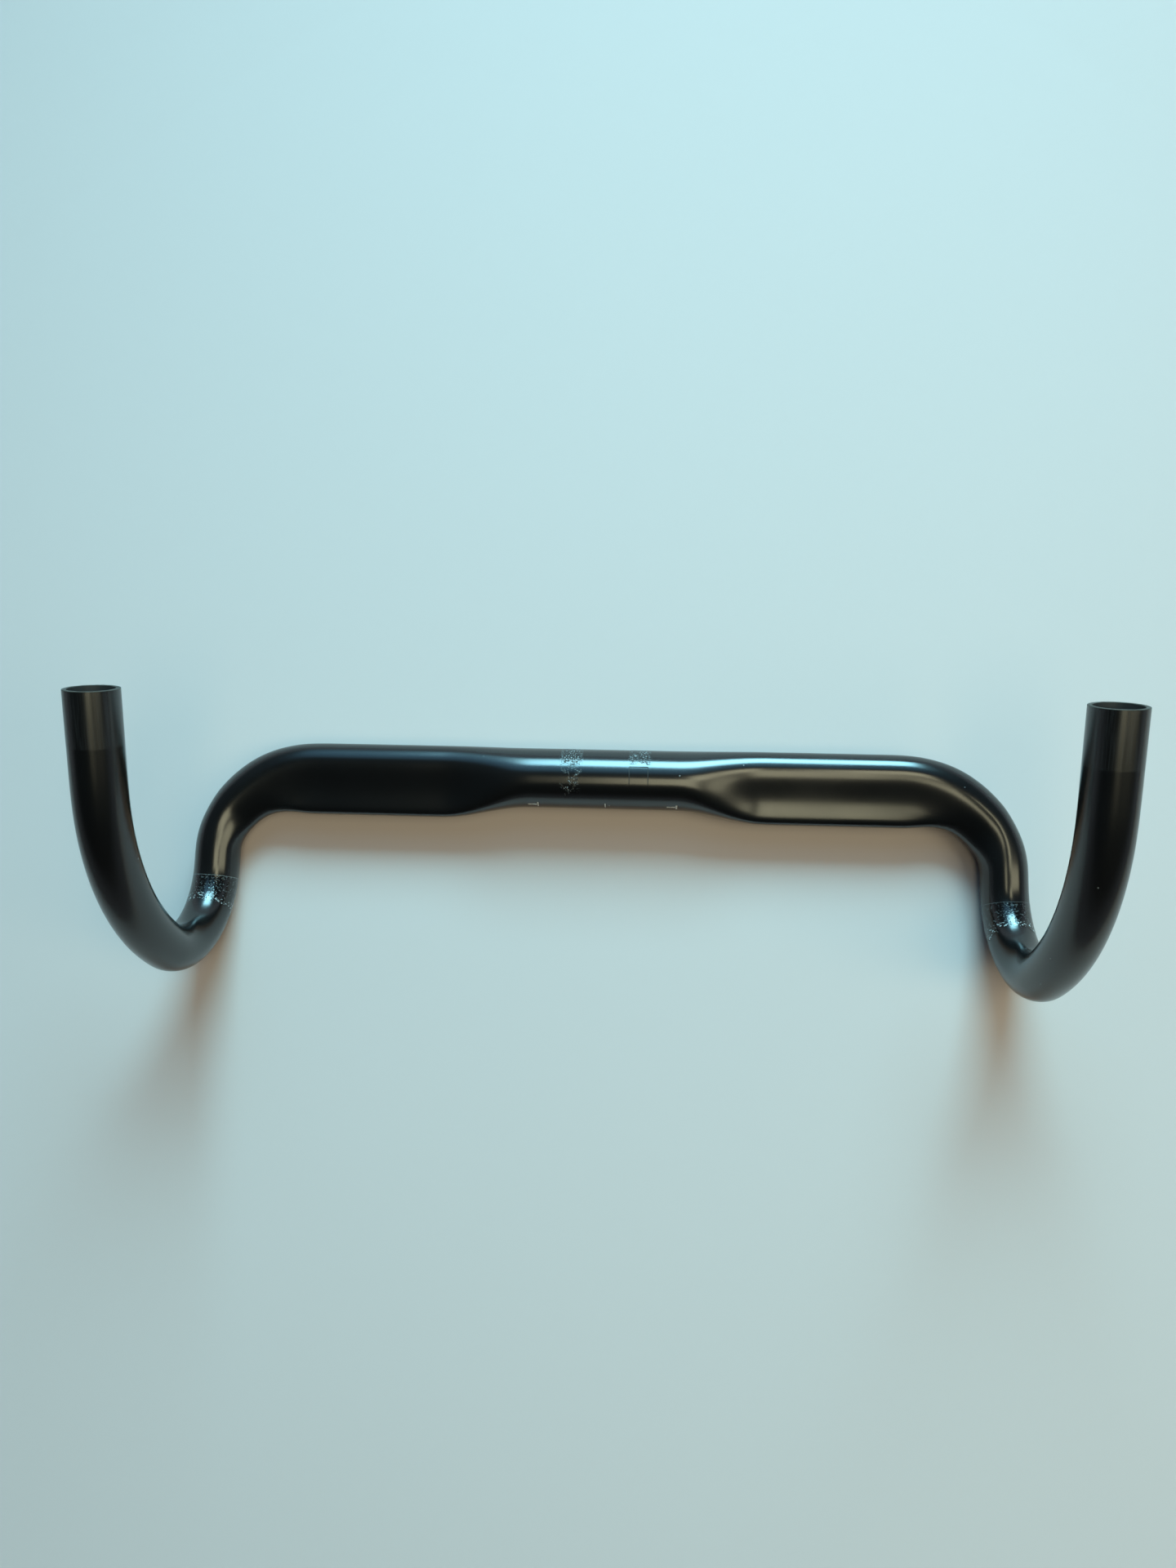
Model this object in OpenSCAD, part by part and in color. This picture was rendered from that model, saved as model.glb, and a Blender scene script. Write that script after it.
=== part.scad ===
// Drop handlebar for a bicycle: one hollow tube with winged tops, lying upside down.
// The origin is the centre of the round clamp zone, +X runs across the bar, the hooks
// reach towards -Y, and +Z points up from the surface that the bar lies on.

/* [Stem clamp zone] */
// Outer diameter of the round centre that a stem grips
clamp_d = 31.8; // [28:0.1:35]
// Length of the round centre
clamp_length = 80; // [50:1:110]
// Wall thickness of the round centre
clamp_wall = 2.6; // [1.6:0.1:4]

/* [Winged tops] */
// Distance from the middle of the bar to the start of each bend
tops_half = 155; // [135:1:190]
// Reach of the wing behind the centreline
wing_rear = 16.3; // [13:0.1:20]
// Reach of the wing in front of the centreline
wing_front = 22.4; // [14:0.1:28]
// Thickness of the wing
wing_thickness = 24; // [20:0.5:30]
// Length over which the round centre flows into the wing
wing_blend = 46; // [25:1:60]
// Squareness of the side of the wing that lies down, where 2 is an ellipse
under_squareness = 2.5; // [2:0.1:3.5]
// Squareness of the upper rear edge of the wing
rear_squareness = 2.6; // [2:0.05:3.5]
// Squareness of the upper front edge of the wing
front_squareness = 5.5; // [2:0.1:7]
// Drop from the rear ridge of the wing to the flat in front
scoop_depth = 5.2; // [0:0.1:6]
// Where the scoop starts, behind the centreline
scoop_start = 9.5; // [4:0.5:12]
// Width over which the scoop drops
scoop_width = 24; // [8:0.5:30]

/* [Bends] */
// Centreline radius of the first, wide part of the bend
bend_wide_r = 63; // [45:1:90]
// Angle of the wide part of the bend
bend_wide_angle = 45; // [25:1:60]
// Centreline radius of the second, tight part of the bend
bend_tight_r = 37; // [30:1:60]
// Angle by which the ramps open outwards
ramp_toe_out = 1.5; // [0:0.1:6]
// Slope of the ramps towards the lying surface
ramp_slope = 4.3; // [0:0.1:10]
// Reach of the ramp tube on the outer side of the bend
ramp_rear = 12.4; // [11:0.1:15]
// Reach of the ramp tube on the inner side of the bend
ramp_front = 14; // [11:0.1:17]

/* [Lever zones] */
// Outer diameter of the lever zones, the hooks and the drops
tube_d = 23.8; // [22:0.1:26]
// Straight length of each lever zone
lever_length = 8; // [4:0.5:30]

/* [Hooks and drops] */
// Centreline radius where the hook starts
hook_front_r = 42; // [32:1:60]
// Angle of the first part of the hook
hook_front_angle = 68; // [50:1:80]
// Centreline radius of the tightest part of the hook
hook_tight_r = 34; // [28:1:50]
// Angle of the tightest part of the hook
hook_tight_angle = 43; // [25:1:55]
// Centreline radius of the long sweep into the drop
hook_sweep_r = 112; // [80:1:150]
// Angle of the long sweep into the drop
hook_sweep_angle = 53.5; // [40:0.5:60]
// Outward lean of the hooks and drops
hook_flare = 3; // [0:0.1:10]
// Length of the straight drop
drop_length = 45; // [20:1:80]

/* [Wall and ends] */
// Wall thickness of the tube outside the clamp zone
wall = 2; // [1.2:0.1:3]
// Bevel on both edges of each open end
rim_bevel = 0.4; // [0.1:0.05:0.6]

/* [Hidden] */
$fn = 96;
outer_sides = 48;
inner_sides = 28;
outer_blend_steps = 12;
inner_blend_steps = 6;
outer_bend_steps = 18;
inner_bend_steps = 12;
// Some lengths of the tube run this far into the walls of their neighbours, a hair inside
// both skins, so that no two faces coincide
lap = 1;
skin_gap = 0.02;
// No ring of the wing's shell lies in the plane where another length of the tube ends
ring_gap = 0.3;
// Where along the bend the front and the rear of the wing narrow down to the ramp tube
front_fade_start = 2;
front_fade_length = 45;
rear_fade_start = 18;
rear_fade_angle = 45;

bend_tight_angle = 90 - ramp_toe_out - bend_wide_angle;
wide_arc = bend_wide_r * bend_wide_angle * PI / 180;
tight_arc = bend_tight_r * bend_tight_angle * PI / 180;
// Distances along the centreline from the middle of the bar
blend_start = clamp_length / 2;
blend_end = blend_start + wing_blend;
bend_end = tops_half + wide_arc + tight_arc;

function mix(a, b, t) = a + (b - a) * t;
function ease(t) = let (c = min(1, max(0, t))) c * c * (3 - 2 * c);

// Heading, turned from +X towards -Y, at distance s along the bend
function heading(s) =
    s <= tops_half ? 0 :
    s <= tops_half + wide_arc ? (s - tops_half) / bend_wide_r * 180 / PI :
    s <= bend_end ? bend_wide_angle + (s - tops_half - wide_arc) / bend_tight_r * 180 / PI :
    bend_wide_angle + bend_tight_angle;

// Point on the centreline at distance s, in the plane of the tops and ramps
function on_arc(start, r, from, to) =
    start + r * [sin(to) - sin(from), cos(to) - cos(from)];
wide_end = on_arc([tops_half, 0], bend_wide_r, 0, bend_wide_angle);
tight_end = on_arc(wide_end, bend_tight_r, bend_wide_angle, bend_wide_angle + bend_tight_angle);
function centre(s) =
    s <= tops_half ? [s, 0] :
    s <= tops_half + wide_arc ? on_arc([tops_half, 0], bend_wide_r, 0, heading(s)) :
    s <= bend_end ? on_arc(wide_end, bend_tight_r, bend_wide_angle, heading(s)) :
    tight_end + (s - bend_end) * [cos(heading(s)), -sin(heading(s))];

// How far the section has turned from the round clamp zone into the wing, and how far
// the wing has faded into the ramp and the ramp into the round tube
function into_wing(s) = ease((s - blend_start) / wing_blend);
function rear_fade(s) = ease((heading(s) - rear_fade_start) / rear_fade_angle);
function front_fade(s) = ease((s - tops_half - front_fade_start) / front_fade_length);
function tube_fade(s) = ease((s - tops_half - wide_arc) / tight_arc);

// Half sizes of the section at distance s: behind, in front of, and above the centreline
function section(s) =
    let (r = clamp_d / 2, t = tube_d / 2, w = into_wing(s), f = tube_fade(s))
    [
        mix(mix(r, wing_rear, w), mix(ramp_rear, t, f), rear_fade(s)),
        mix(mix(r, wing_front, w), mix(ramp_front, t, f), front_fade(s)),
        mix(mix(r, wing_thickness / 2, w), t, f)
    ];
// Squareness of the section at angle q from the rear, which is 2 where the tube is round
function squareness(s, q) =
    let (wing = sin(q) < 0 ? under_squareness : cos(q) > 0 ? rear_squareness : front_squareness)
    mix(mix(2, wing, into_wing(s)), 2, max(front_fade(s), rear_fade(s)));
// Share of the upper height that the scoop takes away, at a distance behind the centreline
function scoop(s, out, height) =
    into_wing(s) * (1 - tube_fade(s)) * scoop_depth / height
    * ease((scoop_start - out) / scoop_width);
// The wall is thicker in the clamp zone
function wall_at(s) = mix(clamp_wall, wall, into_wing(s));
// The bore's flats stand just outside the round bores that it meets
function bore_inset(s, sides) =
    let (r = section(s)[2] - wall_at(s)) wall_at(s) - skin_gap - r * (1 / cos(180 / sides) - 1);

function ring(s, inset, sides) =
    let (size = section(s), p = centre(s), a = heading(s))
    [for (k = [0:sides - 1])
        let (
            q = 360 * (k + 0.5) / sides,
            power = squareness(s, q),
            out = cos(q) * ((cos(q) > 0 ? size[0] : size[1]) - inset),
            height = size[2] - inset,
            half = pow(1 - pow(abs(cos(q)), power), 1 / power) * height,
            up = sin(q) < 0 ? -half : half * (1 - scoop(s, out, height))
        )
        [p[0] + out * sin(a), p[1] + out * cos(a), up]];

function stations(blend_n, bend_n) = concat(
    [for (i = [0:blend_n]) mix(blend_start + ring_gap, blend_end, i / blend_n)],
    [for (i = [0:bend_n]) mix(tops_half, bend_end - ring_gap, i / bend_n)]
);

// Closed shell through the rings, capped at both ends
module loft(rings, sides) {
    last = len(rings) - 1;
    points = [for (r = rings) each r];
    walls = [for (i = [0:last - 1], k = [0:sides - 1])
        let (n = (k + 1) % sides, a = i * sides, b = a + sides)
        each [[a + k, b + k, b + n], [a + k, b + n, a + n]]];
    polyhedron(points, concat([[for (k = [0:sides - 1]) k]], walls,
        [[for (k = [sides - 1:-1:0]) last * sides + k]]));
}

// Solid winged top and bend of the right side, running past its round neighbours by lap
module wing_solid(sides, blend_n, bend_n, bore, reach) {
    run = stations(blend_n, bend_n);
    inset = [for (s = run) bore ? bore_inset(s, sides) : skin_gap];
    last = len(run) - 1;
    loft(concat(
        [[for (p = ring(run[0], inset[0], sides)) p - [reach, 0, 0]]],
        [for (i = [0:last]) ring(run[i], inset[i], sides)],
        [[for (p = ring(bend_end, inset[last], sides))
            p + reach * [cos(heading(bend_end)), -sin(heading(bend_end)), 0]]]
    ), sides);
}

// Moves that follow the centreline: straight ahead along +X, or round a bend towards -Y
module ahead(distance) {
    translate([distance, 0, 0]) children();
}
module past_bend(r, angle) {
    translate([0, -r, 0]) rotate([0, 0, -angle]) translate([0, r, 0]) children();
}

// Straight and bent lengths of round tube, starting at the origin along +X
module wall_ring(d, thickness) {
    difference() {
        circle(d = d);
        circle(d = d - 2 * thickness);
    }
}
module pipe(d, thickness, length) {
    rotate([90, 0, 90]) linear_extrude(length) wall_ring(d, thickness);
}
module bent_pipe(r, angle) {
    translate([0, -r, 0]) rotate([0, 0, 90 - angle])
        rotate_extrude(angle = angle) translate([r, 0]) wall_ring(tube_d, wall);
}
// The same bend a hair slimmer, with both ends lapping into the walls of its neighbours
module lapped_bent_pipe(r, angle) {
    over = lap / r * 180 / PI;
    translate([0, -r, 0]) rotate([0, 0, 90 - angle - over])
        rotate_extrude(angle = angle + 2 * over) translate([r, 0])
            wall_ring(tube_d - 2 * skin_gap, wall - 2 * skin_gap);
}

// Straight drop, with both edges of its open end bevelled
module drop() {
    r = tube_d / 2;
    bore_r = r - wall;
    rotate([90, 0, 90]) rotate_extrude()
        polygon([[bore_r, 0], [r, 0], [r, drop_length - rim_bevel], [r - rim_bevel, drop_length],
            [bore_r + rim_bevel, drop_length], [bore_r, drop_length - rim_bevel]]);
}

// Hollow winged top and bend of the right side
module wing() {
    difference() {
        wing_solid(outer_sides, outer_blend_steps, outer_bend_steps, false, lap);
        wing_solid(inner_sides, inner_blend_steps, inner_bend_steps, true, 2 * lap);
    }
}

// Places along the round run: where the lever zone, the three parts of the hook and the
// drop begin
module at_lever_zone() {
    ahead(tops_half) past_bend(bend_wide_r, bend_wide_angle)
        past_bend(bend_tight_r, bend_tight_angle) rotate([-90 - hook_flare, 0, 0]) children();
}
module at_hook_front() {
    at_lever_zone() ahead(lever_length) children();
}
module at_hook_tight() {
    at_hook_front() past_bend(hook_front_r, hook_front_angle) children();
}
module at_hook_sweep() {
    at_hook_tight() past_bend(hook_tight_r, hook_tight_angle) children();
}
module at_drop() {
    at_hook_sweep() past_bend(hook_sweep_r, hook_sweep_angle) children();
}

// Lever zone, hook and drop of the right side
module round_run() {
    at_lever_zone() pipe(tube_d, wall, lever_length);
    at_hook_front() lapped_bent_pipe(hook_front_r, hook_front_angle);
    at_hook_tight() bent_pipe(hook_tight_r, hook_tight_angle);
    at_hook_sweep() lapped_bent_pipe(hook_sweep_r, hook_sweep_angle);
    at_drop() drop();
}

// Everything to the right of the clamp zone, with the tops and ramps in one sloping plane
module side() {
    rotate([ramp_slope, 0, 0]) {
        wing();
        round_run();
    }
}

module handlebar() {
    color([0.07, 0.07, 0.075]) {
        ahead(-clamp_length / 2) pipe(clamp_d, clamp_wall, clamp_length);
        side();
        mirror([1, 0, 0]) side();
    }
}

handlebar();
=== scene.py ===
"""Drop handlebar for a bicycle: one hollow winged tube lying upside down on a pale floor."""
import math

import bmesh
import bpy
from bpy.props import FloatProperty, FloatVectorProperty, IntProperty, PointerProperty
from mathutils import Matrix, Vector, noise


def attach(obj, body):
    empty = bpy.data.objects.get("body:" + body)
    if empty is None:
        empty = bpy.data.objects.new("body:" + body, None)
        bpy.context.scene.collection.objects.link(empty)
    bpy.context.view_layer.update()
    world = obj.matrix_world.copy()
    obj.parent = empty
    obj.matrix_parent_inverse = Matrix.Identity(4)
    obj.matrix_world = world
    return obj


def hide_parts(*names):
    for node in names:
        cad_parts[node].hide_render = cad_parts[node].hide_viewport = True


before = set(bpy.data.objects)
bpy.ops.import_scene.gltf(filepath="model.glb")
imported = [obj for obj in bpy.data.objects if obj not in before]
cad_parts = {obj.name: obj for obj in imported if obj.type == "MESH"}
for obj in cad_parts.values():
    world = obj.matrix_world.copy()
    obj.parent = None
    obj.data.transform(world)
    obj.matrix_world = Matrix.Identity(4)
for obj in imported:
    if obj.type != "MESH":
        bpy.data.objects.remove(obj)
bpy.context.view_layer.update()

bl_info = {
    "name": "Drop Handlebar",
    "version": (1, 0, 0),
    "blender": (4, 5, 0),
    "location": "3D View > Sidebar > Handlebar",
    "description": "Builds a hollow winged drop handlebar with worn lacquer and grip coats",
    "category": "Object",
}

MM = 0.001
# Corners round the cage of the tube, and how far its smoothed skin lies inside them
SIDES = 24
CAGE_SHRINK = (2 + math.cos(2 * math.pi / SIDES)) / 3
# Rings of the cage in each stretch of the tube, from its middle to its open end
RINGS = {
    "clamp": 3, "blend": 9, "tops": 6, "wide bend": 7, "tight bend": 7, "lever": 2,
    "hook front": 9, "hook tight": 6, "hook sweep": 9, "drop": 3,
}
# Gap before the ring that ends the clamp zone, and the last two gaps before the open end
CLAMP_RING_GAP = 4 * MM
END_RING_GAPS = (2.2 * MM, 0.8 * MM)
# Corners nearer than this are joined, and corners nearer their place than this stay
MERGE_GAP = 0.01 * MM
STAY_GAP = 0.0001 * MM
# How far past its own length the skin of a grip coat is copied before it is trimmed
COAT_SPARE = 6 * MM
# Waves to the metre, share and seed of each layer of noise in the coats' ragged edges
COAT_WANDER = ((160, 1.0, 0.3), (700, 0.5, 0.7))
# Softness of the printed marks, and each mark's place, offset from it, width and height
MARK_SOFT = 0.1 * MM
MARKS_MM = (
    ("left_mark", 0, 0.8, 4.5),
    ("left_mark", -2.4, 3.4, 1.1),
    ("middle_mark", 0, 0.5, 4.2),
    ("right_mark", 0, 0.8, 4.0),
    ("right_mark", -2.2, 3.4, 1.1),
)
# Turns from the top, in degrees, between which each rubbed band fades towards the front
SCUFF_FADES = {"left_scuff": (30, 65), "right_scuff": (-40, 0)}
# Half the width of the dark lines at the stain's sides, and in degrees round the tube, half
# the width of its rear line and the turns from the top where its sides start and end
STAIN_LINE = 0.16 * MM
STAIN_REAR_LINE = 1
STAIN_TURNS = (-22, 12)
# The room's colour, and how far up and how far back its light fades, as parts of a direction
ROOM_COLOUR = (0.8, 0.92, 1, 1)
ROOM_RISE = (0.06, 0.45)
ROOM_DEPTH = (-0.5, 0.4)
# Each lamp's place, the point it faces, its width and height in metres, its tint, and its
# spread in degrees
LAMPS = {
    "window": ((0.25, 1.87, 1.27), (0, 0, 0), (1.25, 1.1), (0.38, 0.85, 1.0), 70),
    "panel": ((-0.1, 1.7, 1.7), (0, 0, 0), (2.3, 2.5), (0.26, 0.66, 1.0), 70),
    "ceiling": ((0.23, -0.42, 1.8), (0.23, -0.42, 0), (0.64, 0.76), (1.0, 0.95, 0.64), 180),
    "lantern": ((0.57, 0.08, 1.8), (0.57, 0.08, 0), (0.45, 0.45), (1.0, 0.95, 0.64), 180),
    "side": ((1.85, -0.4, 1.8), (1.85, -0.4, 0), (2.1, 0.7), (1.0, 0.95, 0.64), 180),
}
# The camera's place and its turns about X, Y and Z in degrees
CAMERA_PLACE_MM = (31.579, -75.254, 578.113)
CAMERA_TURN = (-7.15, -3.91, -1.29)
SENSOR_MM = 36
# The mix node's two colours and its result, by their places among its sockets
MIX_A = 6
MIX_B = 7
MIX_RESULT = 2


def length(name, description, default_mm, low_mm=0.0, high_mm=1000.0):
    """A length property, given in millimetres and held in metres."""
    return FloatProperty(
        name=name, description=description, default=default_mm * MM,
        min=low_mm * MM, max=high_mm * MM, unit="LENGTH", subtype="DISTANCE", precision=4,
    )


def degrees(name, description, default):
    """An angle property, given in degrees and held in radians."""
    return FloatProperty(
        name=name, description=description, default=math.radians(default),
        min=0, max=math.pi, subtype="ANGLE",
    )


def share(name, description, default, high=1.0):
    """A plain number between nothing and high."""
    return FloatProperty(name=name, description=description, default=default, min=0.0, max=high)


def colour(name, description, default):
    """A linear colour."""
    return FloatVectorProperty(
        name=name, description=description, default=default, min=0.0, max=1.0,
        subtype="COLOR", size=3,
    )


class BarShape(bpy.types.PropertyGroup):
    """Sizes of the tube, the same as the solid's"""

    clamp_diameter: length("Clamp diameter", "Outer diameter of the round centre", 31.8)
    clamp_length: length("Clamp length", "Length of the round centre", 80)
    tops_half: length("Half of the tops", "From the middle to the start of each bend", 155)
    wing_rear: length("Wing rear", "Reach of the wing behind the centreline", 16.3)
    wing_front: length("Wing front", "Reach of the wing in front of the centreline", 22.4)
    wing_thickness: length("Wing thickness", "Thickness of the wing", 24)
    wing_blend: length("Wing blend", "Length over which the round centre turns into the wing", 46)
    under_power: share("Under squareness", "Squareness of the side that lies down", 2.5, 8)
    rear_power: share("Rear squareness", "Squareness of the upper rear edge", 2.6, 8)
    front_power: share("Front squareness", "Squareness of the upper front edge", 5.5, 8)
    scoop_depth: length("Scoop depth", "Drop from the rear ridge to the front flat", 5.2)
    scoop_start: length("Scoop start", "Where the scoop starts behind the centreline", 9.5)
    scoop_width: length("Scoop width", "Width over which the scoop drops", 24)
    bend_wide_radius: length("Wide bend radius", "Radius of the first part of the bend", 63)
    bend_wide_angle: degrees("Wide bend angle", "Angle of the first part of the bend", 45)
    bend_tight_radius: length("Tight bend radius", "Radius of the second part of the bend", 37)
    ramp_toe_out: degrees("Toe out", "Angle by which the ramps open outwards", 1.5)
    ramp_slope: degrees("Ramp slope", "Slope of the ramps towards the floor", 4.3)
    ramp_rear: length("Ramp rear", "Reach of the ramp tube on the outer side", 12.4)
    ramp_front: length("Ramp front", "Reach of the ramp tube on the inner side", 14)
    front_fade_start: length("Front fade start", "The front narrows from here on in the bend", 2)
    front_fade_length: length("Front fade", "Length over which the front narrows", 45)
    rear_fade_start: degrees("Rear fade start", "Heading at which the rear starts to narrow", 18)
    rear_fade_angle: degrees("Rear fade", "Turn over which the rear narrows", 45)
    tube_diameter: length("Tube diameter", "Outer diameter of the hooks and drops", 23.8)
    lever_length: length("Lever zone", "Straight length of each lever zone", 8)
    hook_front_radius: length("Hook front radius", "Radius where the hook starts", 42)
    hook_front_angle: degrees("Hook front angle", "Angle of the first part of the hook", 68)
    hook_tight_radius: length("Hook tight radius", "Radius of the tightest part", 34)
    hook_tight_angle: degrees("Hook tight angle", "Angle of the tightest part", 43)
    hook_sweep_radius: length("Hook sweep radius", "Radius of the sweep into the drop", 112)
    hook_sweep_angle: degrees("Hook sweep angle", "Angle of the sweep into the drop", 53.5)
    hook_flare: degrees("Flare", "Outward lean of the hooks and drops", 3)
    drop_length: length("Drop length", "Length of the straight drop", 45)
    wall: length("Wall", "Thickness of the tube's wall", 2)
    rim_bevel: length("Rim bevel", "Bevel on both edges of each open end", 0.4)
    smoothness: IntProperty(
        name="Smoothness", description="Subdivisions of the tube's skin", default=2, min=0, max=3
    )


class GripShape(bpy.types.PropertyGroup):
    """Sizes of the grip coats on the lever zones"""

    start_left: length("Left start", "Where the left coat starts after the lever zone", 6.5)
    start_right: length("Right start", "Where the right coat starts after the lever zone", 9.5)
    coat_length: length("Coat length", "Length of each coat", 19)
    ragged: length("Ragged edge", "How far the coat's worn edge wanders", 3.5)
    thickness: length("Thickness", "Thickness of the coat", 0.12)


class BarWear(bpy.types.PropertyGroup):
    """Places of the marks and the wear, measured along the tube from its middle"""

    left_scuff: length("Left scuff", "Middle of the rubbed band on the left", -16.5, -100)
    right_scuff: length("Right scuff", "Middle of the rubbed band on the right", 19.5, -100)
    scuff_width: length("Scuff width", "Width of each rubbed band", 9)
    patch_start: length("Patch start", "Left side of the stain left by a label", 14.2, -100)
    patch_end: length("Patch end", "Right side of the stain left by a label", 24.0, -100)
    left_mark: length("Left mark", "Place of the left alignment mark", -35.3, -100)
    middle_mark: length("Middle mark", "Place of the middle alignment tick", 1.6, -100)
    right_mark: length("Right mark", "Place of the right alignment mark", 39.2, -100)
    mark_turn: degrees("Turn of the marks", "Turn from the top towards the front", 65)
    end_zone: length("End zone", "Length of the duller finish at each open end", 25)


class BarFinish(bpy.types.PropertyGroup):
    """Colours and gloss of the bar"""

    lacquer: colour("Lacquer", "Colour of the satin lacquer", (0.004, 0.0041, 0.0044))
    gloss: share("Lacquer roughness", "Roughness of the satin lacquer", 0.2)
    laminate: colour("Laminate", "Colour of the bare laminate", (0.028, 0.0285, 0.03))
    rim: colour("Rim", "Colour of the cut and bevelled rims", (0.05, 0.047, 0.038))
    scuff: colour("Scuff", "Colour of the rubbed specks", (0.5, 0.54, 0.54))
    mark: colour("Mark", "Colour of the alignment ticks", (0.75, 0.75, 0.73))
    grip: colour("Grip coat", "Colour of the grip coats", (0.003, 0.0031, 0.0034))
    grip_gloss: share("Grip coat roughness", "Roughness of the grip coats", 0.06)


class StageLook(bpy.types.PropertyGroup):
    """Floor, lamps and camera"""

    floor: colour("Floor", "Colour of the floor", (0.66, 0.56, 0.54))
    floor_size: length("Floor size", "Width of the floor", 2600, 0, 20000)
    horizon: share("Horizon", "Strength of the room's light near the horizon", 0.5)
    zenith: share("Zenith", "Strength of the room's light from above", 0.07)
    front: share("Front", "Share of the room's light that comes from the front", 0.3)
    window: share("Window", "Power of the cool window lamp in watts", 15.5, 500)
    panel: share("Panel", "Power of the wide dim panel round the window in watts", 4.4, 500)
    ceiling: share("Ceiling", "Power of the warm lamp overhead in watts", 5.5, 500)
    lantern: share("Lantern", "Power of the small warm lamp overhead in watts", 3.0, 500)
    side: share("Side", "Power of the warm lamp to the right in watts", 14.0, 500)
    lens: FloatProperty(
        name="Lens", description="Focal length over the picture's height", default=24.956,
        min=10, max=100, unit="CAMERA",
    )


def ease(way):
    """Goes from 0 to 1 as way does, with no slope at either end."""
    way = min(1.0, max(0.0, way))
    return way * way * (3 - 2 * way)


def mix(start, end, way):
    """Goes from start to end as way goes from 0 to 1."""
    return start + (end - start) * way


def shade(tint, factor):
    """The colour made lighter or darker by a factor."""
    return [part * factor for part in tint]


class Centreline:
    """Lengths along the tube's centreline, and the section at each of its places."""

    def __init__(self, shape):
        self.shape = shape
        self.blend_start = shape.clamp_length / 2
        self.bend_tight_angle = math.radians(90) - shape.ramp_toe_out - shape.bend_wide_angle
        self.wide_arc = shape.bend_wide_radius * shape.bend_wide_angle
        self.tight_arc = shape.bend_tight_radius * self.bend_tight_angle
        self.bend_end = shape.tops_half + self.wide_arc + self.tight_arc
        self.hook_start = self.bend_end + shape.lever_length

    def heading(self, along):
        """Turn from the tops at a distance along the centreline."""
        past = along - self.shape.tops_half
        wide = min(max(past, 0), self.wide_arc) / self.shape.bend_wide_radius
        tight = min(max(past - self.wide_arc, 0), self.tight_arc) / self.shape.bend_tight_radius
        return wide + tight

    def section(self, along):
        """The corners of the cage as distances to the rear and up, round from the rear."""
        shape = self.shape
        past_tops = along - shape.tops_half
        wing = ease((along - self.blend_start) / shape.wing_blend)
        rear_fade = ease((self.heading(along) - shape.rear_fade_start) / shape.rear_fade_angle)
        front_fade = ease((past_tops - shape.front_fade_start) / shape.front_fade_length)
        tube = ease((past_tops - self.wide_arc) / self.tight_arc)
        clamp_radius = shape.clamp_diameter / 2
        tube_radius = shape.tube_diameter / 2
        ramp_rear = mix(shape.ramp_rear, tube_radius, tube)
        ramp_front = mix(shape.ramp_front, tube_radius, tube)
        rear = mix(mix(clamp_radius, shape.wing_rear, wing), ramp_rear, rear_fade)
        front = mix(mix(clamp_radius, shape.wing_front, wing), ramp_front, front_fade)
        half = mix(mix(clamp_radius, shape.wing_thickness / 2, wing), tube_radius, tube)
        fade = max(front_fade, rear_fade)
        scoop = wing * (1 - tube) * shape.scoop_depth / half
        corners = []
        for number in range(SIDES):
            angle = 2 * math.pi * (number + 0.5) / SIDES
            out = math.cos(angle)
            up = math.sin(angle)
            power = shape.under_power
            if up > 0:
                power = shape.rear_power if out > 0 else shape.front_power
            power = mix(mix(2, power, wing), 2, fade)
            rise = math.copysign((1 - abs(out) ** power) ** (1 / power), up) * half
            out *= rear if out > 0 else front
            if rise > 0:
                rise *= 1 - scoop * ease((shape.scoop_start - out) / shape.scoop_width)
            corners.append((out / CAGE_SHRINK, rise / CAGE_SHRINK))
        return corners


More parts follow.
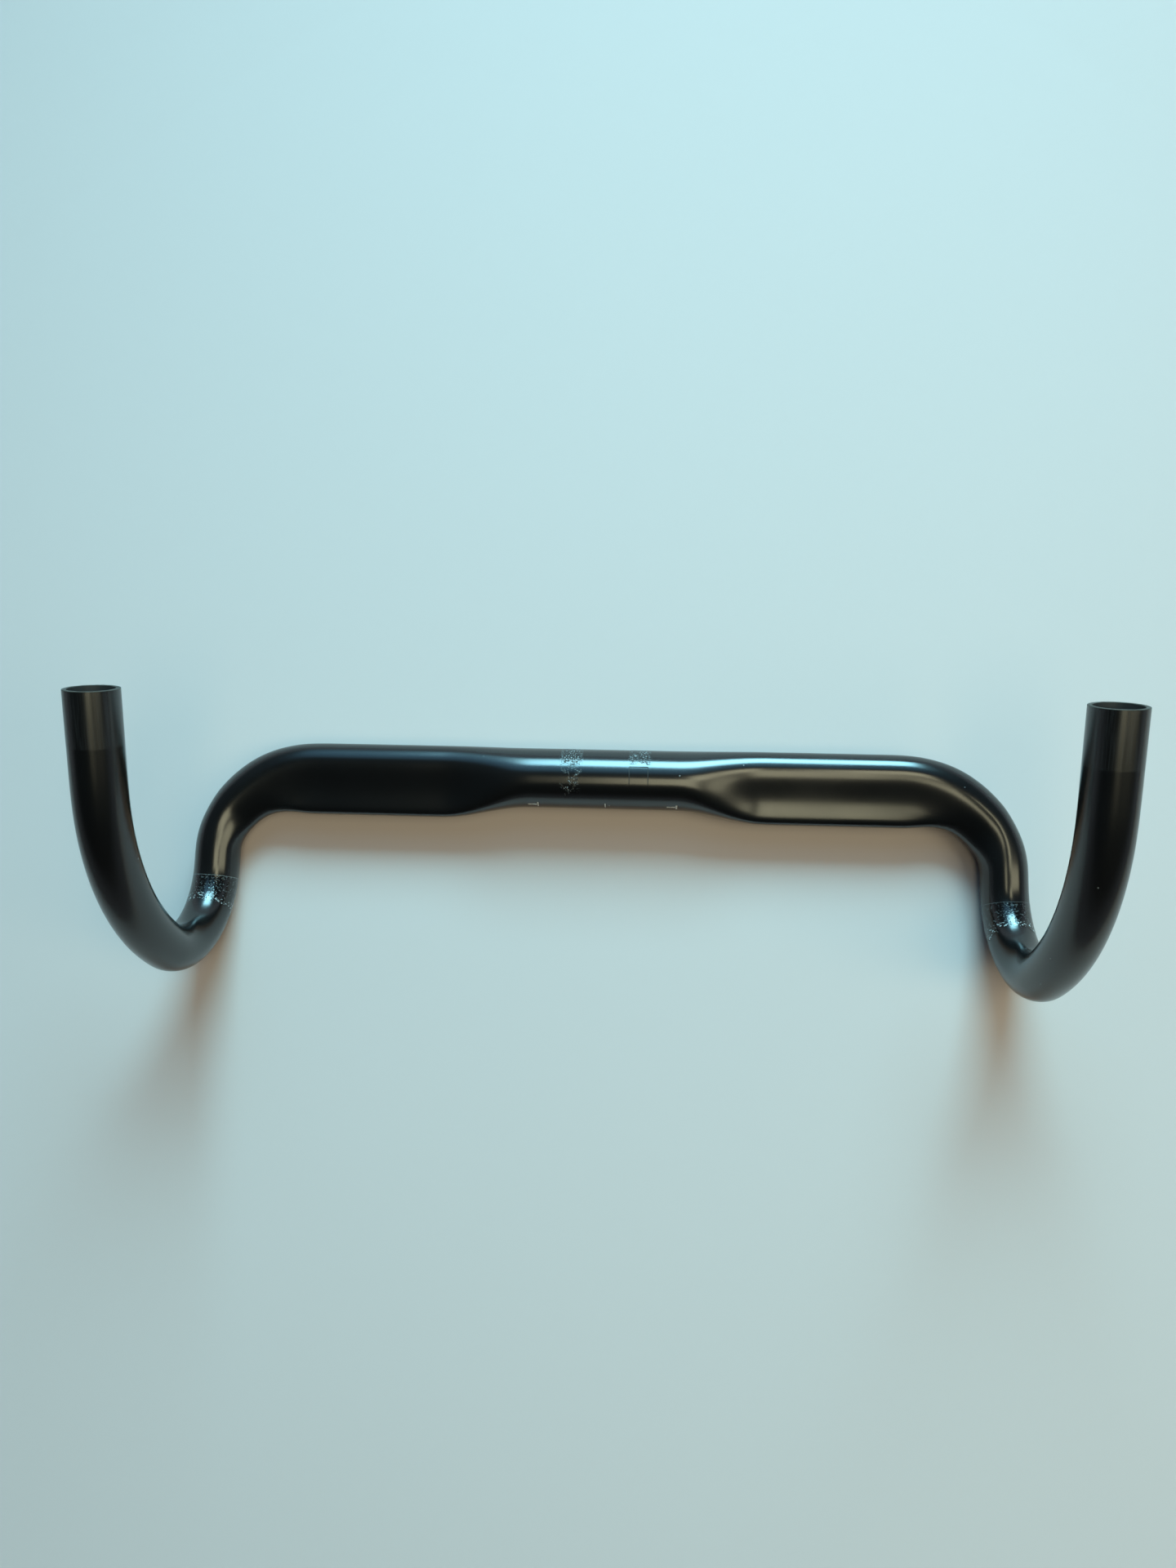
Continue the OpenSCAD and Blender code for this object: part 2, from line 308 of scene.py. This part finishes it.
class Walk:
    """The open edge of the growing tube, walked along the centreline in edit mode."""

    def __init__(self, obj, line):
        self.obj = obj
        self.line = line
        self.along = 0.0
        self.place = Vector((0, 0, 0))
        self.ahead = Vector((1, 0, 0))
        self.rear = Vector((0, 1, 0))
        self.up = Vector((0, 0, 1))
        edit = bmesh.from_edit_mesh(obj.data)
        edit.verts.layers.float_vector.new("straight")
        self.fit()

    def edge(self):
        """Numbers of the open edge's corners, in order round the section."""
        edit = bmesh.from_edit_mesh(self.obj.data)
        edit.verts.index_update()

        def turn(corner):
            arm = corner.co - self.place
            return math.atan2(arm.dot(self.up), arm.dot(self.rear)) % (2 * math.pi)

        corners = [corner for corner in edit.verts if corner.select]
        return [corner.index for corner in sorted(corners, key=turn)]

    def fit(self):
        """Moves each corner of the open edge to its place in the section."""
        section = self.line.section(self.along)
        numbers = self.edge()
        for number, (out, rise) in zip(numbers, section):
            edit = bmesh.from_edit_mesh(self.obj.data)
            edit.verts.ensure_lookup_table()
            corner = edit.verts[number]
            move = self.place + self.rear * out + self.up * rise - corner.co
            if move.length > STAY_GAP:
                pick(edit, self.obj, [corner])
                bpy.ops.transform.translate(value=move)
        edit = bmesh.from_edit_mesh(self.obj.data)
        edit.verts.ensure_lookup_table()
        pick(edit, self.obj, [edit.verts[number] for number in numbers])
        straight = edit.verts.layers.float_vector["straight"]
        for number, (out, rise) in zip(numbers, section):
            edit.verts[number][straight] = Vector((self.along, out, rise))
        bmesh.update_edit_mesh(self.obj.data)

    def go(self, distance, steps=1):
        """Grows the tube straight ahead, in equal steps."""
        for _ in range(steps):
            step = self.ahead * (distance / steps)
            bpy.ops.mesh.extrude_region_move(TRANSFORM_OT_translate={"value": step})
            self.place += step
            self.along += distance / steps
            self.fit()

    def bend(self, inward, radius, angle, steps):
        """Grows the tube round a bend that has its middle towards inward, in equal steps."""
        axis = self.ahead.cross(inward)
        pivot = self.place + inward * radius
        turn = Matrix.Rotation(angle / steps, 3, axis)
        for _ in range(steps):
            # the operator turns the other way round its axis
            bpy.ops.mesh.spin(steps=1, angle=-angle / steps, center=pivot, axis=axis)
            self.place = pivot + turn @ (self.place - pivot)
            for arm in (self.ahead, self.rear, self.up):
                arm.rotate(turn)
            self.along += radius * angle / steps
            self.fit()


def pick(edit, obj, corners):
    """Selects these corners and nothing else."""
    for face in edit.faces:
        face.select_set(False)
    for edge in edit.edges:
        edge.select_set(False)
    for corner in edit.verts:
        corner.select_set(False)
    for corner in corners:
        corner.select_set(True)
    edit.select_flush(True)
    bmesh.update_edit_mesh(obj.data)


def alone(obj):
    """Makes obj the only selected and the active object."""
    bpy.ops.object.select_all(action="DESELECT")
    obj.select_set(True)
    bpy.context.view_layer.objects.active = obj


def apply(obj, kind, **settings):
    """Adds a modifier with these settings and applies it."""
    alone(obj)
    modifier = obj.modifiers.new(kind.title(), kind)
    for name, value in settings.items():
        setattr(modifier, name, value)
    bpy.ops.object.modifier_apply(modifier=modifier.name)


def finish_piece(obj):
    """Puts the piece on the bar's body."""
    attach(obj, "root")


class Paint:
    """Adds and joins the nodes of one material."""

    def __init__(self, name):
        self.material = bpy.data.materials.new(name)
        self.material.use_nodes = True
        self.tree = self.material.node_tree
        self.tree.nodes.clear()
        self.shader = self.add("ShaderNodeBsdfPrincipled")
        output = self.add("ShaderNodeOutputMaterial")
        self.join(self.shader.outputs["BSDF"], output.inputs["Surface"])

    def add(self, kind, **settings):
        """Adds a node with these settings."""
        node = self.tree.nodes.new(kind)
        for name, value in settings.items():
            setattr(node, name, value)
        return node

    def join(self, source, target):
        """Joins a socket to another, or sets a value on it."""
        if isinstance(source, bpy.types.NodeSocket):
            self.tree.links.new(source, target)
        else:
            target.default_value = source

    def straight(self, stretch=(1, 1, 1), shift=(0, 0, 0)):
        """Place on the tube as if it were straight: along it, to the rear and up."""
        place = self.add("ShaderNodeAttribute", attribute_name="straight")
        mapping = self.add("ShaderNodeMapping")
        mapping.inputs["Scale"].default_value = stretch
        mapping.inputs["Location"].default_value = shift
        self.join(place.outputs["Vector"], mapping.inputs["Vector"])
        return mapping.outputs["Vector"]

    def part(self, vector, axis):
        """One of a vector's three numbers."""
        split = self.add("ShaderNodeSeparateXYZ")
        self.join(vector, split.inputs[0])
        return split.outputs[axis]

    def math(self, operation, a, b=0.0, clamp=False):
        """A sum, product or other result of one or two values."""
        node = self.add("ShaderNodeMath", operation=operation, use_clamp=clamp)
        self.join(a, node.inputs[0])
        self.join(b, node.inputs[1])
        return node.outputs[0]

    def times(self, a, b):
        """The product of two values."""
        return self.math("MULTIPLY", a, b)

    def noise(self, vector, scale, detail=2.0, rough=0.5):
        """Cloudy noise with this many waves to the metre."""
        node = self.add("ShaderNodeTexNoise")
        self.join(vector, node.inputs["Vector"])
        self.join(scale, node.inputs["Scale"])
        self.join(detail, node.inputs["Detail"])
        self.join(rough, node.inputs["Roughness"])
        return node.outputs["Fac"]

    def cells(self, vector, scale):
        """Distance to the nearest of scattered points."""
        node = self.add("ShaderNodeTexVoronoi")
        self.join(vector, node.inputs["Vector"])
        self.join(scale, node.inputs["Scale"])
        return node.outputs["Distance"]

    def between(self, value, low, high, to_low=0.0, to_high=1.0):
        """Smooth step of value from low to high."""
        node = self.add("ShaderNodeMapRange", interpolation_type="SMOOTHSTEP")
        for name, part in zip(
            ("Value", "From Min", "From Max", "To Min", "To Max"),
            (value, low, high, to_low, to_high),
        ):
            self.join(part, node.inputs[name])
        return node.outputs["Result"]

    def over_turn(self, turn, start, end, to_low=0.0, to_high=1.0):
        """Smooth step over a turn round the tube, from start to end in degrees."""
        return self.between(turn, math.radians(start), math.radians(end), to_low, to_high)

    def band(self, value, low, high, soft):
        """1 between low and high, with soft edges."""
        rise = self.between(value, low - soft, low + soft)
        fall = self.between(value, high - soft, high + soft, to_low=1.0, to_high=0.0)
        return self.times(rise, fall)

    def blend(self, factor, a, b):
        """Colour a turned into colour b by the factor."""
        node = self.add("ShaderNodeMix", data_type="RGBA")
        self.join(factor, node.inputs["Factor"])
        for tint, number in ((a, MIX_A), (b, MIX_B)):
            if not isinstance(tint, bpy.types.NodeSocket):
                tint = (*tint, 1)
            self.join(tint, node.inputs[number])
        return node.outputs[MIX_RESULT]

    def either(self, *masks):
        """The strongest of several masks."""
        strongest = masks[0]
        for mask in masks[1:]:
            strongest = self.math("MAXIMUM", strongest, mask)
        return strongest

    def bump(self, height, distance, under=None):
        """Normals of this relief, on top of those under it."""
        node = self.add("ShaderNodeBump")
        self.join(distance, node.inputs["Distance"])
        self.join(height, node.inputs["Height"])
        if under is not None:
            self.join(under, node.inputs["Normal"])
        return node.outputs["Normal"]

    def finish(self, colour, rough, normal=None, specular=0.5):
        """Joins the looks to the shader and gives the material."""
        if not isinstance(colour, bpy.types.NodeSocket):
            colour = (*colour, 1)
        self.join(colour, self.shader.inputs["Base Color"])
        self.join(rough, self.shader.inputs["Roughness"])
        self.join(specular, self.shader.inputs["Specular IOR Level"])
        if normal is not None:
            self.join(normal, self.shader.inputs["Normal"])
        return self.material


def rubbed_bands(paint, wear, along, turn):
    """Mask of the bands that a stem rubbed, ragged, and widest at the upper rear."""
    ragged = paint.noise(paint.straight(shift=(0.07, 0, 0)), 260, detail=3, rough=0.65)
    ragged = paint.math("ADD", ragged, paint.over_turn(turn, -10, -40, to_low=-0.02, to_high=0.15))
    half = wear.scuff_width / 2
    bands = []
    for name, (fade, end) in SCUFF_FADES.items():
        middle = getattr(wear, name)
        fore = paint.over_turn(turn, fade, end, to_high=0.4)
        reach = paint.between(paint.math("SUBTRACT", ragged, fore), 0.46, 0.58)
        band = paint.band(along, middle - half, middle + half, soft=2.5 * MM)
        bands.append(paint.times(band, reach))
    return paint.either(*bands)


def label_stain(paint, wear, along, turn):
    """Mask of the dark lines that a label left at both its sides and its rear edge."""
    start, end = (math.radians(angle) for angle in STAIN_TURNS)
    half = math.radians(STAIN_REAR_LINE)
    sides = []
    for middle in (wear.patch_start, wear.patch_end):
        low = middle - STAIN_LINE
        high = middle + STAIN_LINE
        sides.append(paint.band(along, low, high, soft=STAIN_LINE / 2))
    sides = paint.times(paint.either(*sides), paint.band(turn, start, end, soft=0.03))
    rear = paint.band(turn, start - half, start + half, soft=0.01)
    width = paint.band(along, wear.patch_start, wear.patch_end, soft=STAIN_LINE)
    return paint.either(sides, paint.times(rear, width))


def printed_marks(paint, wear, along, turn, radius):
    """Mask of the short alignment marks at the front of the clamp zone."""
    marks = []
    for name, offset, width, height in MARKS_MM:
        middle = getattr(wear, name) + offset * MM
        half = width / 2 * MM
        arc = height / 2 * MM / radius
        across = paint.band(along, middle - half, middle + half, MARK_SOFT)
        down = paint.band(turn, wear.mark_turn - arc, wear.mark_turn + arc, MARK_SOFT / radius)
        marks.append(paint.times(across, down))
    return paint.either(*marks)


def lacquer(finish, wear, radius, drop_end):
    """Satin black lacquer with fine grain, rubbed bands, a stain, marks and dust."""
    paint = Paint("satin_black_lacquer")
    place = paint.straight()
    along = paint.part(place, 0)
    front = paint.times(paint.part(place, 1), -1.0)
    turn = paint.math("ARCTAN2", front, paint.part(place, 2))

    # faint mottling, smudges, orange peel and lengthwise grain
    mottle = paint.noise(place, 38, detail=4, rough=0.55)
    smudge = paint.between(paint.noise(place, 14, detail=5, rough=0.6), 0.5, 0.72)
    grain = paint.noise(paint.straight(stretch=(0.03, 1, 1)), 1500, detail=3, rough=0.6)
    peel = paint.noise(place, 900)

    # dark chips, pale specks and a dull haze where a stem clamped the bar
    rubbed = rubbed_bands(paint, wear, along, turn)
    chips = paint.between(paint.noise(place, 1000, detail=3, rough=0.7), 0.53, 0.56)
    chips = paint.times(rubbed, chips)
    specks = paint.noise(paint.straight(shift=(0.3, 0, 0)), 1200, rough=0.6)
    specks = paint.times(rubbed, paint.between(specks, 0.6, 0.63))

    stain = paint.times(label_stain(paint, wear, along, turn), paint.between(mottle, 0.3, 0.5))
    worn = paint.between(paint.noise(place, 2200, rough=0.6), 0.36, 0.46)
    marks = paint.times(printed_marks(paint, wear, along, turn, radius), worn)

    # dust: few tiny pale dots
    dust = paint.between(paint.cells(paint.straight(shift=(0.012, 0, 0)), 120), 0.055, 0.035)
    dust = paint.times(dust, paint.between(paint.noise(place, 45), 0.56, 0.6))

    # duller finish near each open end, with lengthwise streaks
    edge = drop_end - wear.end_zone
    soft = 0.2 * MM
    end_zone = paint.between(paint.math("ABSOLUTE", along), edge - soft, edge + soft)
    streak = paint.times(end_zone, paint.between(grain, 0.4, 0.7))

    tone = paint.blend(mottle, shade(finish.lacquer, 0.8), shade(finish.lacquer, 1.2))
    for mask, weight, tint in (
        (streak, 0.5, finish.laminate),
        (rubbed, 0.1, finish.laminate),
        (chips, 1.0, shade(finish.lacquer, 0.3)),
        (specks, 0.8, finish.scuff),
        (dust, 0.5, finish.scuff),
        (marks, 1.0, finish.mark),
    ):
        tone = paint.blend(paint.times(mask, weight), tone, tint)

    rough = finish.gloss - 0.02
    for mask, rise in (
        (mottle, 0.04),
        (smudge, 0.04),
        (end_zone, 0.05),
        (rubbed, 0.04),
        (stain, 0.6),
        (chips, 0.6),
    ):
        rough = paint.math("ADD", rough, paint.times(mask, rise), clamp=True)

    normal = paint.bump(peel, 0.003 * MM)
    normal = paint.bump(grain, 0.003 * MM, normal)
    normal = paint.bump(paint.math("SUBTRACT", specks, chips), 0.05 * MM, normal)
    return paint.finish(tone, rough, normal, specular=0.8)


def bare_laminate(finish):
    """Rough dark laminate inside the tube."""
    paint = Paint("bare_laminate")
    wrinkle = paint.noise(paint.straight(stretch=(0.25, 1, 1)), 420, detail=4, rough=0.6)
    cloud = paint.noise(paint.straight(), 80, detail=3)
    tone = paint.blend(cloud, shade(finish.laminate, 0.6), shade(finish.laminate, 1.4))
    rough = paint.between(wrinkle, 0.2, 0.8, to_low=0.42, to_high=0.66)
    return paint.finish(tone, rough, paint.bump(wrinkle, 0.12 * MM))


def cut_rim(finish):
    """Cut end of the laminate, with its plies showing as fine rings."""
    paint = Paint("cut_rim")
    ply = paint.noise(paint.straight(stretch=(4, 1, 1)), 2600, rough=0.6)
    worn = paint.noise(paint.straight(), 260, detail=4, rough=0.6)
    tone = paint.blend(ply, shade(finish.rim, 0.55), finish.rim)
    tone = paint.blend(paint.between(worn, 0.5, 0.7), tone, shade(finish.rim, 0.4))
    rough = paint.between(worn, 0.3, 0.7, to_low=0.4, to_high=0.6)
    return paint.finish(tone, rough, paint.bump(ply, 0.02 * MM), specular=0.3)


def grip_coat(finish, name, low, high):
    """Glossy gritty coat with a pale start line, rougher towards its worn edge."""
    paint = Paint(f"grip_coat_{name}")
    place = paint.straight()
    distance = paint.math("ABSOLUTE", paint.part(place, 0))
    worn = paint.between(distance, mix(low, high, 0.45), high)
    start = paint.between(distance, low + 0.4 * MM, low + 0.25 * MM)
    lump = paint.noise(place, 420, detail=3, rough=0.6)
    grit = paint.noise(place, 1500, detail=3, rough=0.65)
    grains = paint.between(paint.cells(place, 800), 0.36, 0.1)
    specks = paint.between(paint.noise(place, 800, rough=0.6), 0.58, 0.63)
    specks = paint.times(specks, paint.between(worn, 0.4, 0.9, to_low=0.12, to_high=0.9))

    tone = paint.blend(specks, finish.grip, finish.scuff)
    tone = paint.blend(paint.times(start, 0.3), tone, finish.scuff)
    rough = paint.math("ADD", finish.grip_gloss, paint.times(worn, 0.08))
    height = paint.math("ADD", grains, paint.times(grit, 0.5))
    height = paint.times(height, paint.between(worn, 0, 1, to_low=0.5))
    normal = paint.bump(height, 0.1 * MM, paint.bump(lump, 0.06 * MM))
    return paint.finish(tone, rough, normal, specular=0.8)


def floor_paint(stage):
    """Plain pale floor with the faintest mottling."""
    paint = Paint("pale_floor")
    where = paint.add("ShaderNodeTexCoord").outputs["Object"]
    tone = paint.blend(paint.noise(where, 3), shade(stage.floor, 0.985), stage.floor)
    return paint.finish(tone, 0.85, specular=0.2)


def room_light(stage):
    """Light that is pale near the horizon, dim overhead and dimmer in front."""
    world = bpy.data.worlds.new("room")
    world.use_nodes = True
    tree = world.node_tree
    background = tree.nodes["Background"]
    background.inputs["Color"].default_value = ROOM_COLOUR
    where = tree.nodes.new("ShaderNodeTexCoord")
    split = tree.nodes.new("ShaderNodeSeparateXYZ")
    strength = tree.nodes.new("ShaderNodeMath")
    strength.operation = "MULTIPLY"
    tree.links.new(where.outputs["Generated"], split.inputs[0])
    for number, axis, (start, end), low, high in (
        (0, "Z", ROOM_RISE, stage.horizon, stage.zenith),
        (1, "Y", ROOM_DEPTH, stage.front, 1.0),
    ):
        fade = tree.nodes.new("ShaderNodeMapRange")
        fade.interpolation_type = "SMOOTHSTEP"
        fade.inputs["From Min"].default_value = start
        fade.inputs["From Max"].default_value = end
        fade.inputs["To Min"].default_value = low
        fade.inputs["To Max"].default_value = high
        tree.links.new(split.outputs[axis], fade.inputs["Value"])
        tree.links.new(fade.outputs["Result"], strength.inputs[number])
    tree.links.new(strength.outputs[0], background.inputs["Strength"])
    return world


def grow_half(bar, shape, line):
    """Grows a ring into the right half of the tube, and gives that half's length."""
    alone(bar)
    bpy.ops.object.mode_set(mode="EDIT")
    bpy.context.tool_settings.mesh_select_mode = (True, False, False)
    bpy.ops.mesh.select_all(action="SELECT")
    walk = Walk(bar, line)

    # half of the clamp zone, the blend and the straight top
    walk.go(line.blend_start - CLAMP_RING_GAP, RINGS["clamp"])
    walk.go(CLAMP_RING_GAP)
    walk.go(shape.wing_blend, RINGS["blend"])
    walk.go(shape.tops_half - walk.along, RINGS["tops"])

    # bend into the ramp, then the lever zone, the hook and the drop
    walk.bend(-walk.rear, shape.bend_wide_radius, shape.bend_wide_angle, RINGS["wide bend"])
    walk.bend(-walk.rear, shape.bend_tight_radius, line.bend_tight_angle, RINGS["tight bend"])
    walk.go(shape.lever_length, RINGS["lever"])
    inward = walk.up.copy()
    inward.rotate(Matrix.Rotation(-shape.hook_flare, 3, walk.ahead))
    for radius, angle, steps in (
        (shape.hook_front_radius, shape.hook_front_angle, RINGS["hook front"]),
        (shape.hook_tight_radius, shape.hook_tight_angle, RINGS["hook tight"]),
        (shape.hook_sweep_radius, shape.hook_sweep_angle, RINGS["hook sweep"]),
    ):
        before = walk.ahead.copy()
        walk.bend(inward, radius, angle, steps)
        inward.rotate(before.rotation_difference(walk.ahead))
    walk.go(shape.drop_length - sum(END_RING_GAPS), RINGS["drop"])
    for gap in END_RING_GAPS:
        walk.go(gap)

    # the tops and ramps lie in one sloping plane
    bpy.ops.mesh.select_all(action="SELECT")
    bpy.ops.transform.rotate(value=-shape.ramp_slope, orient_axis="X", center_override=(0, 0, 0))
    bpy.ops.object.mode_set(mode="OBJECT")
    return walk.along


def mirror_half(bar):
    """Mirrors the right half to the left, with places along the tube below zero there."""
    apply(bar, "MIRROR", use_axis=(True, False, False), merge_threshold=MERGE_GAP)
    bpy.ops.object.mode_set(mode="EDIT")
    bpy.ops.mesh.select_all(action="SELECT")
    bpy.ops.mesh.remove_doubles(threshold=MERGE_GAP)
    bpy.ops.mesh.normals_make_consistent(inside=False)
    bpy.ops.object.mode_set(mode="OBJECT")
    straight = bar.data.attributes["straight"].data
    for corner in bar.data.vertices:
        if corner.co.x < 0:
            straight[corner.index].vector.x *= -1


class HANDLEBAR_OT_bar(bpy.types.Operator):
    """Build the hollow winged tube"""

    bl_idname = "handlebar.bar"
    bl_label = "Bar"

    def execute(self, context):
        shape = context.scene.bar_shape
        line = Centreline(shape)
        bpy.ops.object.select_all(action="DESELECT")
        bpy.ops.mesh.primitive_circle_add(
            vertices=SIDES, radius=shape.clamp_diameter / 2 / CAGE_SHRINK, fill_type="NOTHING",
            rotation=(math.pi / SIDES, math.pi / 2, 0),
        )
        bar = context.object
        bar.name = bar.data.name = "bar"
        bpy.ops.object.transform_apply(location=False, rotation=True, scale=False)
        drop_end = grow_half(bar, shape, line)
        mirror_half(bar)
        apply(bar, "SUBSURF", levels=shape.smoothness, render_levels=shape.smoothness)

        # the coats are copied here, while the bar is still a skin without a wall
        copy_coats(bar, context.scene.grip_shape, line)
        finish = context.scene.bar_finish
        for material in (
            lacquer(finish, context.scene.bar_wear, shape.clamp_diameter / 2, drop_end),
            bare_laminate(finish),
            cut_rim(finish),
        ):
            bar.data.materials.append(material)
        apply(
            bar, "SOLIDIFY", thickness=shape.wall, offset=-1, use_even_offset=True,
            material_offset=1, material_offset_rim=2,
        )
        apply(
            bar, "BEVEL", width=shape.rim_bevel, segments=2, limit_method="ANGLE",
            angle_limit=math.radians(60), material=2,
        )
        alone(bar)
        bpy.ops.object.shade_smooth_by_angle(angle=math.radians(40))
        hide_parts("handlebar")
        finish_piece(bar)
        return {"FINISHED"}


def copy_coats(bar, grip, line):
    """Copies the skin of each lever zone to a piece of its own, with one ragged edge."""
    for name, side, start in (("left", -1, grip.start_left), ("right", 1, grip.start_right)):
        low = line.hook_start + start
        high = low + grip.coat_length
        alone(bar)
        bpy.ops.object.mode_set(mode="EDIT")
        edit = bmesh.from_edit_mesh(bar.data)
        straight = edit.verts.layers.float_vector["straight"]
        bpy.ops.mesh.select_all(action="DESELECT")
        bpy.context.tool_settings.mesh_select_mode = (False, False, True)
        for face in edit.faces:
            middle = sum(corner[straight].x for corner in face.verts) / len(face.verts) * side
            if low - COAT_SPARE < middle < high + COAT_SPARE:
                face.select_set(True)
        bmesh.update_edit_mesh(bar.data)
        bpy.ops.mesh.duplicate()
        bpy.ops.mesh.separate(type="SELECTED")
        bpy.context.tool_settings.mesh_select_mode = (True, False, False)
        bpy.ops.object.mode_set(mode="OBJECT")
        coat = next(piece for piece in bpy.context.selected_objects if piece != bar)
        coat.name = coat.data.name = f"grip_coat_{name}"
        trim_coat(coat, side, low, high, grip)


def trim_coat(coat, side, low, high, grip):
    """Cuts the coat straight at its start and raggedly at its end, and gives it thickness."""
    apply(coat, "SUBSURF", levels=2, render_levels=2, subdivision_type="SIMPLE")
    bpy.ops.object.mode_set(mode="EDIT")
    edit = bmesh.from_edit_mesh(coat.data)
    straight = edit.verts.layers.float_vector["straight"]
    pick(edit, coat, [])
    for corner in edit.verts:
        place = corner[straight]
        wander = 0.0
        for scale, height, seed in COAT_WANDER:
            wander += height * noise.noise(Vector((place.y, place.z, side * seed)) * scale)
        reach = place.x * side
        if reach < low or reach > high + wander * grip.ragged:
            corner.select_set(True)
    bmesh.update_edit_mesh(coat.data)
    bpy.ops.mesh.delete(type="VERT")
    bpy.ops.object.mode_set(mode="OBJECT")
    apply(coat, "SOLIDIFY", thickness=grip.thickness, offset=0.4, use_even_offset=True)
    coat.data.materials.clear()
    alone(coat)
    bpy.ops.object.shade_smooth_by_angle(angle=math.radians(50))


class HANDLEBAR_OT_coats(bpy.types.Operator):
    """Finish the gritty grip coats of the lever zones"""

    bl_idname = "handlebar.coats"
    bl_label = "Grip coats"

    def execute(self, context):
        grip = context.scene.grip_shape
        hook_start = Centreline(context.scene.bar_shape).hook_start
        for name, start in (("left", grip.start_left), ("right", grip.start_right)):
            coat = bpy.data.objects[f"grip_coat_{name}"]
            low = hook_start + start
            material = grip_coat(context.scene.bar_finish, name, low, low + grip.coat_length)
            coat.data.materials.append(material)
            finish_piece(coat)
        return {"FINISHED"}


class HANDLEBAR_OT_stage(bpy.types.Operator):
    """Lay the floor and set the lamps and the camera"""

    bl_idname = "handlebar.stage"
    bl_label = "Stage"

    def execute(self, context):
        stage = context.scene.stage_look
        shape = context.scene.bar_shape
        bpy.ops.object.select_all(action="DESELECT")
        bpy.ops.mesh.primitive_plane_add(
            size=stage.floor_size, location=(0, 0, -shape.clamp_diameter / 2)
        )
        floor = context.object
        floor.name = "floor"
        floor.data.materials.append(floor_paint(stage))

        context.scene.world = room_light(stage)
        for name, (place, aim, size, tint, spread) in LAMPS.items():
            bpy.ops.object.light_add(type="AREA", location=place)
            lamp = context.object
            lamp.name = lamp.data.name = name
            lamp.data.shape = "RECTANGLE"
            lamp.data.size, lamp.data.size_y = size
            lamp.data.energy = getattr(stage, name)
            lamp.data.color = tint
            lamp.data.spread = math.radians(spread)
            look = Vector(aim) - Vector(place)
            lamp.rotation_euler = look.to_track_quat("-Z", "Y").to_euler()

        bpy.ops.object.camera_add()
        camera = context.object
        camera.name = "camera"
        camera.data.sensor_fit = "VERTICAL"
        camera.data.sensor_height = SENSOR_MM
        camera.data.sensor_width = SENSOR_MM
        camera.data.lens = stage.lens
        camera.data.clip_start = 10 * MM
        turn = Matrix.Identity(3)
        for angle, axis in zip(CAMERA_TURN, "XYZ"):
            turn = Matrix.Rotation(math.radians(angle), 3, axis) @ turn
        placing = turn.transposed().to_4x4()
        placing.translation = Vector(CAMERA_PLACE_MM) * MM
        camera.matrix_world = placing
        context.scene.camera = camera
        context.scene.view_settings.view_transform = "Standard"
        return {"FINISHED"}


class HANDLEBAR_PT_panel(bpy.types.Panel):
    """Buttons that build the pieces, and their sizes and colours"""

    bl_idname = "HANDLEBAR_PT_panel"
    bl_label = "Drop handlebar"
    bl_space_type = "VIEW_3D"
    bl_region_type = "UI"
    bl_category = "Handlebar"

    def draw(self, context):
        for button in BUTTONS:
            self.layout.operator(button.bl_idname)
        for name, kind in GROUPS.items():
            column = self.layout.box().column()
            for value in kind.__annotations__:
                column.prop(getattr(context.scene, name), value)


# The scene's groups of values, by their names on it
GROUPS = {
    "bar_shape": BarShape,
    "grip_shape": GripShape,
    "bar_wear": BarWear,
    "bar_finish": BarFinish,
    "stage_look": StageLook,
}
BUTTONS = (HANDLEBAR_OT_bar, HANDLEBAR_OT_coats, HANDLEBAR_OT_stage)
CLASSES = (*GROUPS.values(), *BUTTONS, HANDLEBAR_PT_panel)


def register():
    for one in CLASSES:
        bpy.utils.register_class(one)
    for name, kind in GROUPS.items():
        setattr(bpy.types.Scene, name, PointerProperty(type=kind))


def unregister():
    for name in GROUPS:
        delattr(bpy.types.Scene, name)
    for one in reversed(CLASSES):
        bpy.utils.unregister_class(one)


def main():
    register()
    bpy.ops.handlebar.bar()
    bpy.ops.handlebar.coats()
    bpy.ops.handlebar.stage()


if __name__ == "__main__":
    main()
